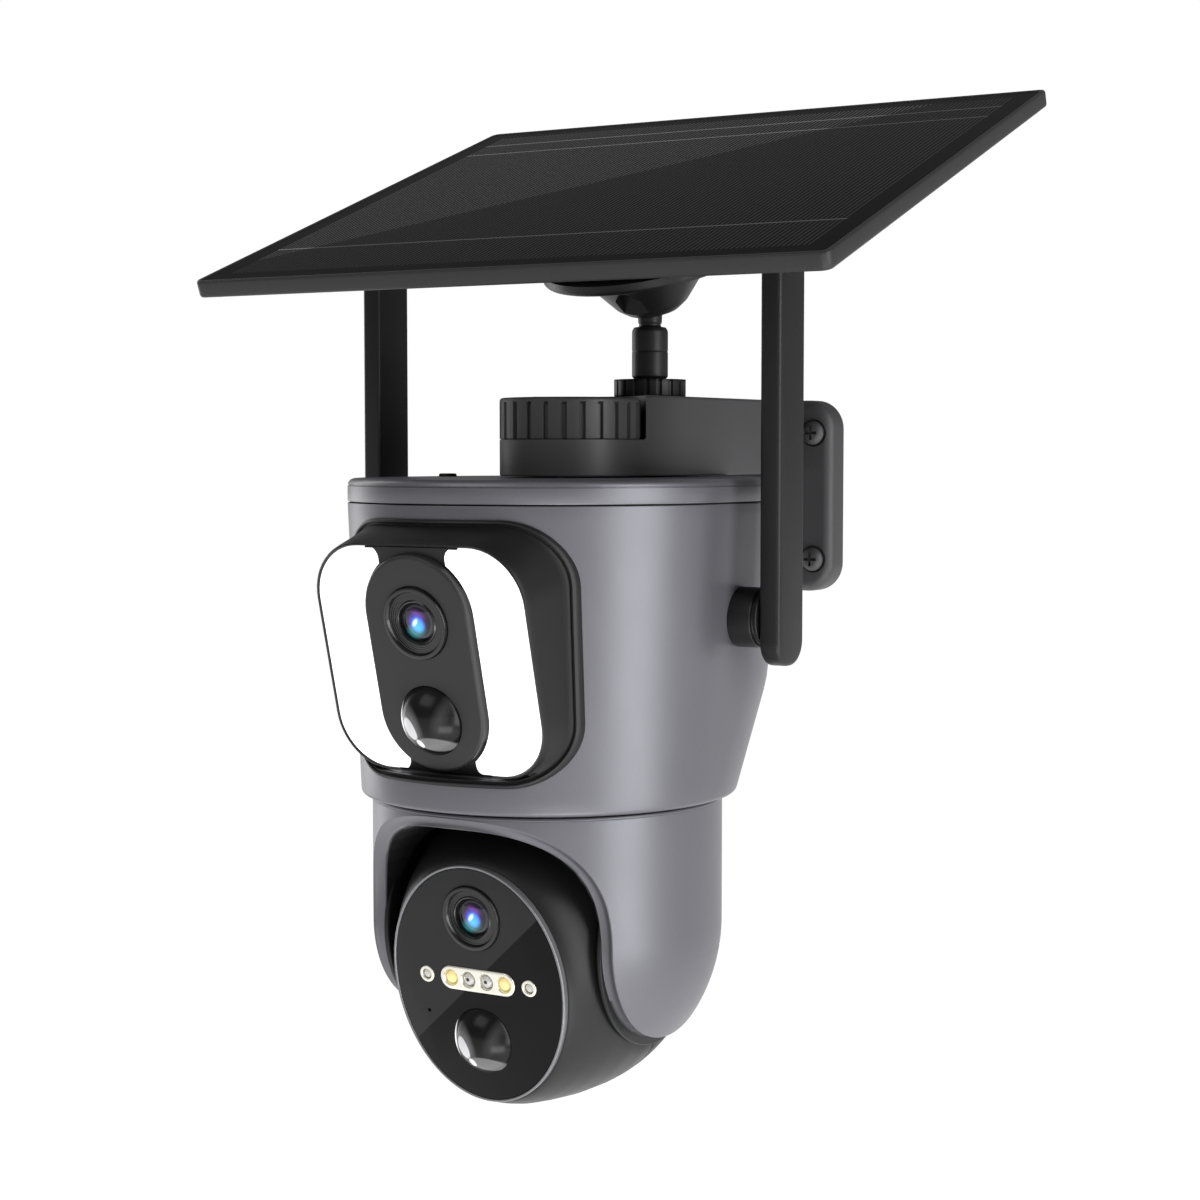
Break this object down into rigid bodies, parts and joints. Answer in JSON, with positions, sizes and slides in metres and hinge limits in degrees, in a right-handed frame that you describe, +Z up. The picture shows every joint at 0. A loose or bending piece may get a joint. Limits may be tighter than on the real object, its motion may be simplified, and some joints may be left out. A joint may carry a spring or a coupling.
{
  "type": "solar-powered security camera",
  "caption": "Outdoor camera on a wall bracket: floodlit fixed lens above a pan and tilt head, with hinged antennas and a solar panel on a ball joint.",
  "frame": {"origin": "centre of the wall plate's back face, the face that lies on the wall", "axes": "+Y into the wall, so the camera looks along -Y; +Z up; +X to the right as seen from in front of the wall, from behind the camera's back"},
  "size_m": [0.1776, 0.1708, 0.2536],
  "materials": {
    "grey_plastic": "fine-grained satin moulding with a faint metallic tint",
    "dark_grey_plastic": "fine matt moulded texture",
    "black_plastic": "satin black moulding",
    "black_rubber": "matt rubber",
    "zinc_steel": "zinc-plated steel",
    "black_glass": "polished black-backed glass",
    "coated_lens": "polished lens with a blue and purple anti-reflection coating",
    "white_diffuser": "milky light diffuser, lit",
    "circuit_board": "green solder mask",
    "solar_cell": "laminated black monocrystalline cell with fine silver fingers",
    "battery_wrap": "shrink-wrap sleeve",
    "face_rim_plastic": "light grey satin edge",
    "clear_plastic": "clear moulded lens"
  },
  "bodies": {
    "camera_body": {"wall_bracket": "dark_grey_plastic", "wall_screw_1": "zinc_steel", "wall_screw_2": "zinc_steel", "wall_screw_3": "zinc_steel", "wall_screw_4": "zinc_steel", "hanger_stud": "zinc_steel", "hanger_washer": "black_rubber", "top_cover": "grey_plastic", "cover_gasket": "black_rubber", "upper_housing": "grey_plastic", "main_board": "circuit_board", "battery_cell_left": "battery_wrap", "battery_cell_right": "battery_wrap", "pan_motor": "zinc_steel", "speaker": "black_plastic", "charge_socket": "zinc_steel", "antenna_hub_left": "black_plastic", "antenna_hub_right": "black_plastic", "lamp_housing": "black_plastic", "light_diffuser_left": "white_diffuser", "light_diffuser_right": "white_diffuser", "floodlight_led_board": "circuit_board", "sensor_plate": "black_plastic", "upper_lens_barrel": "black_plastic", "upper_lens_glass": "coated_lens", "upper_motion_sensor_dome": "black_glass", "upper_camera_module": "circuit_board", "pan_bearing": "zinc_steel"},
    "clamp": {"clamp_knob": "dark_grey_plastic"},
    "lock": {"stem_lock_ring": "black_plastic"},
    "stem": {"ball_stem": "black_plastic"},
    "liner": {"socket_liner": "black_rubber"},
    "panel": {"socket_cone": "black_plastic", "panel_tray": "dark_grey_plastic", "solar_cells": "solar_cell", "solar_glass": "black_glass", "panel_junction_box": "dark_grey_plastic", "panel_cable_gland": "black_rubber"},
    "left_antenna": {"antenna_left": "black_plastic"},
    "right_antenna": {"antenna_right": "black_plastic"},
    "pan_fork": {"fork_shell": "grey_plastic", "fork_frame": "black_plastic", "pan_shaft": "zinc_steel", "tilt_shaft": "zinc_steel", "tilt_bush": "zinc_steel"},
    "head": {"head_front_shell": "black_plastic", "head_rear_shell": "black_plastic", "face_rim": "face_rim_plastic", "face_glass": "black_glass", "head_lens_barrel": "black_plastic", "head_lens_glass": "coated_lens", "head_motion_sensor_dome": "black_glass", "led_bar_cover": "clear_plastic", "led_board": "circuit_board", "side_led_left": "clear_plastic", "side_led_right": "clear_plastic", "camera_board": "circuit_board", "tilt_motor": "zinc_steel"},
    "button": {"reset_button": "black_plastic"},
    "flap": {"port_flap": "black_rubber"}
  },
  "joints": [
    {"name": "clamp_knob_turn", "type": "hinge", "parent": "camera_body", "child": "clamp", "pos_m": [0, -0.1026, 0.0194], "axis": [0, 0, 1], "continuous": true},
    {"name": "lock_ring_turn", "type": "hinge", "parent": "camera_body", "child": "lock", "pos_m": [0, -0.0638, 0.0284], "axis": [0, 0, 1], "continuous": true},
    {"name": "panel_swivel", "type": "hinge", "parent": "camera_body", "child": "stem", "pos_m": [0, -0.0638, 0.0544], "axis": [0, 0, 1], "range_deg": [-10, 10]},
    {"name": "panel_tilt", "type": "hinge", "parent": "stem", "child": "liner", "pos_m": [0, -0.0638, 0.0544], "axis": [0.9993, 0.0372, 0], "range_deg": [-35, 0]},
    {"name": "panel_roll", "type": "hinge", "parent": "liner", "child": "panel", "pos_m": [0, -0.0638, 0.0544], "axis": [-0.0347, 0.9343, 0.3548], "range_deg": [-3, 3]},
    {"name": "antenna_left_swing", "type": "hinge", "parent": "camera_body", "child": "left_antenna", "pos_m": [-0.0583, -0.101, -0.027], "axis": [1, 0, 0], "range_deg": [-120, 90]},
    {"name": "antenna_right_swing", "type": "hinge", "parent": "camera_body", "child": "right_antenna", "pos_m": [0.0583, -0.101, -0.027], "axis": [1, 0, 0], "range_deg": [-120, 90]},
    {"name": "pan", "type": "hinge", "parent": "camera_body", "child": "pan_fork", "pos_m": [0, -0.113, -0.0706], "axis": [0, 0, 1], "range_deg": [-175, 175]},
    {"name": "head_tilt", "type": "hinge", "parent": "pan_fork", "child": "head", "pos_m": [0, -0.113, -0.108], "axis": [1, 0, 0], "range_deg": [-10, 80]},
    {"name": "reset_button_press", "type": "slide", "parent": "camera_body", "child": "button", "axis": [0, 0, -1], "range_m": [0, 0.0006], "stiffness_N_per_m": 400},
    {"name": "port_flap_open", "type": "hinge", "parent": "camera_body", "child": "flap", "pos_m": [0, -0.0469, -0.0358], "axis": [1, 0, 0], "range_deg": [-110, 0]}
  ]
}
